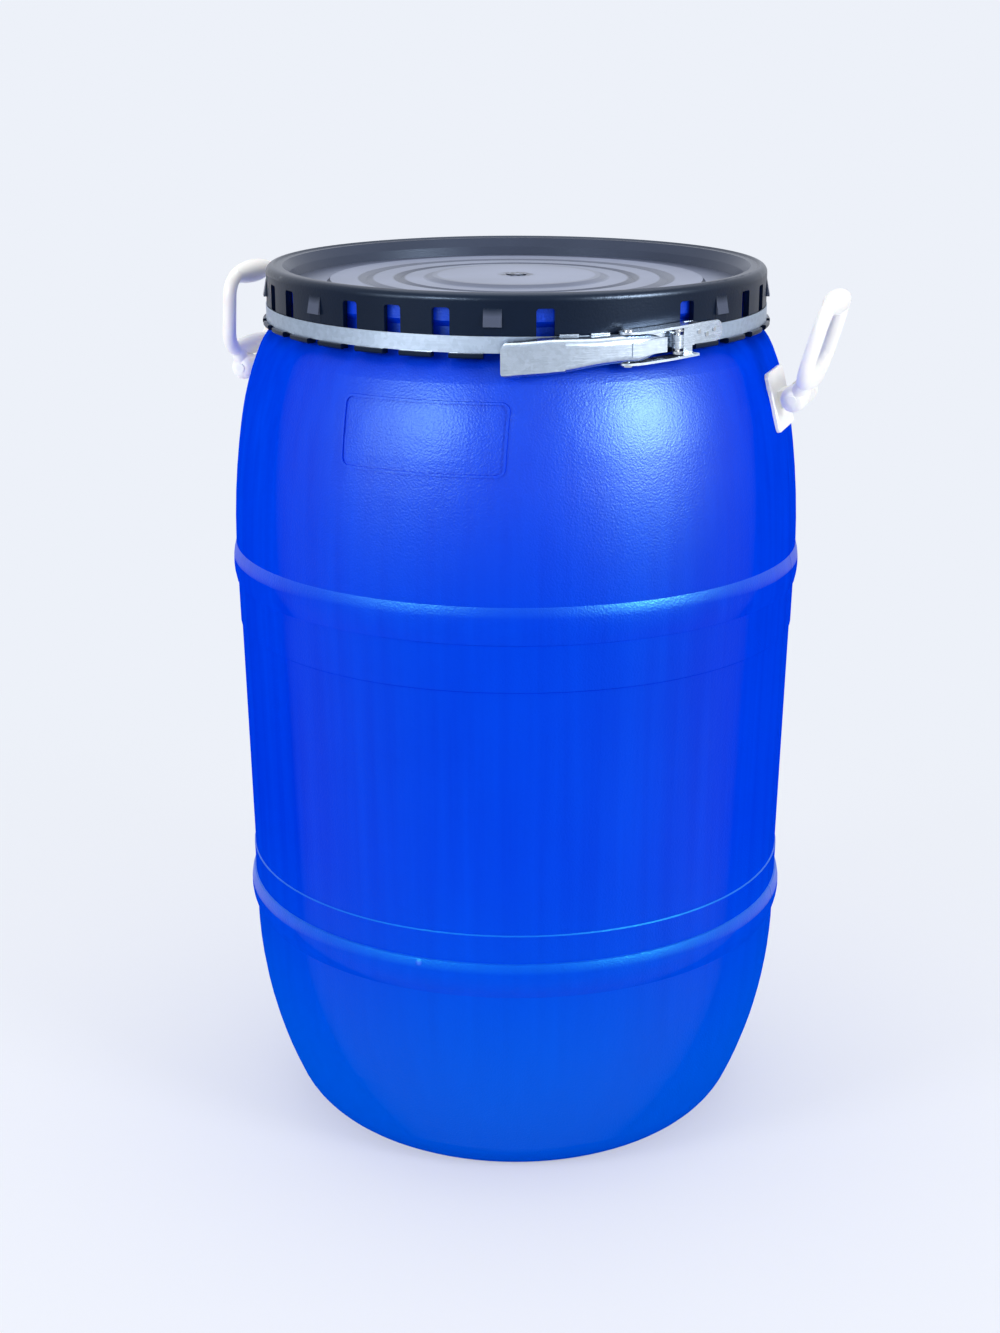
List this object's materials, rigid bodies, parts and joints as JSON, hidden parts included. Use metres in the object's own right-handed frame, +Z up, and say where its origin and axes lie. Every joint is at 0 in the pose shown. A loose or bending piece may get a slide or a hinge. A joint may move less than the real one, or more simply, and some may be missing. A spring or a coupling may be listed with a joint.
{
  "type": "open head drum",
  "caption": "Blow-moulded plastic open-head drum with rolling hoops, a lid held by a lever-lock ring and white drop handles.",
  "frame": {"origin": "centre of the base, on the plane that the foot ring stands on", "axes": "+Z up along the drum's axis, +X and -X through the two handles, -Y through the middle of the label field"},
  "size_m": [0.4397, 0.4, 0.616],
  "materials": {
    "drum_blue": "satin blow-moulded polyethylene with a fine orange-peel skin",
    "lid_black": "satin injection-moulded polyethylene",
    "gasket_foam": "foamed rubber",
    "galvanised_band": "galvanised steel strip",
    "galvanised_lever": "galvanised steel pressing",
    "galvanised_fitting": "galvanised steel pressing",
    "steel_pin": "bright zinc",
    "handle_white": "satin white moulded plastic",
    "handle_pin": "satin white moulded plastic"
  },
  "bodies": {
    "drum": {"drum_body": "drum_blue", "right_handle_plate": "handle_white", "left_handle_plate": "handle_white", "right_hinge_pin": "handle_pin", "left_hinge_pin": "handle_pin"},
    "lid_and_ring": {"lid": "lid_black", "lid_gasket": "gasket_foam", "clamp_band": "galvanised_band", "band_end_hinge": "galvanised_fitting", "lever_pivot_pin": "steel_pin", "pivot_washers": "steel_pin"},
    "closing_lever": {"lever": "galvanised_lever", "link_rivets": "steel_pin"},
    "bracket": {"draw_bracket": "galvanised_fitting", "tail_spot_rivets": "steel_pin"},
    "handle_right": {"right_handle": "handle_white"},
    "handle_left": {"left_handle": "handle_white"}
  },
  "joints": [
    {"name": "lid_lift", "type": "slide", "parent": "drum", "child": "lid_and_ring", "axis": [0, 0, 1], "range_m": [0, 0.15]},
    {"name": "lever_swing", "type": "hinge", "parent": "lid_and_ring", "child": "closing_lever", "pos_m": [0.14199, -0.10817, 0.58375], "axis": [0, 0, 1], "range_deg": [0, 120]},
    {"name": "bracket_swing", "type": "hinge", "parent": "closing_lever", "child": "bracket", "pos_m": [0.11758, -0.13431, 0.58195], "axis": [0, 0, 1], "range_deg": [-84, 0]},
    {"name": "right_handle_swing", "type": "hinge", "parent": "drum", "child": "handle_right", "pos_m": [0.19968, 0, 0.53541], "axis": [0, 1, 0], "range_deg": [-21, 144]},
    {"name": "left_handle_swing", "type": "hinge", "parent": "drum", "child": "handle_left", "pos_m": [-0.19968, 0, 0.53541], "axis": [0, -1, 0], "range_deg": [-2, 163]}
  ],
  "couplings": [
    {"joint": "bracket_swing", "follows": "lever_swing", "ratio": -0.7}
  ]
}
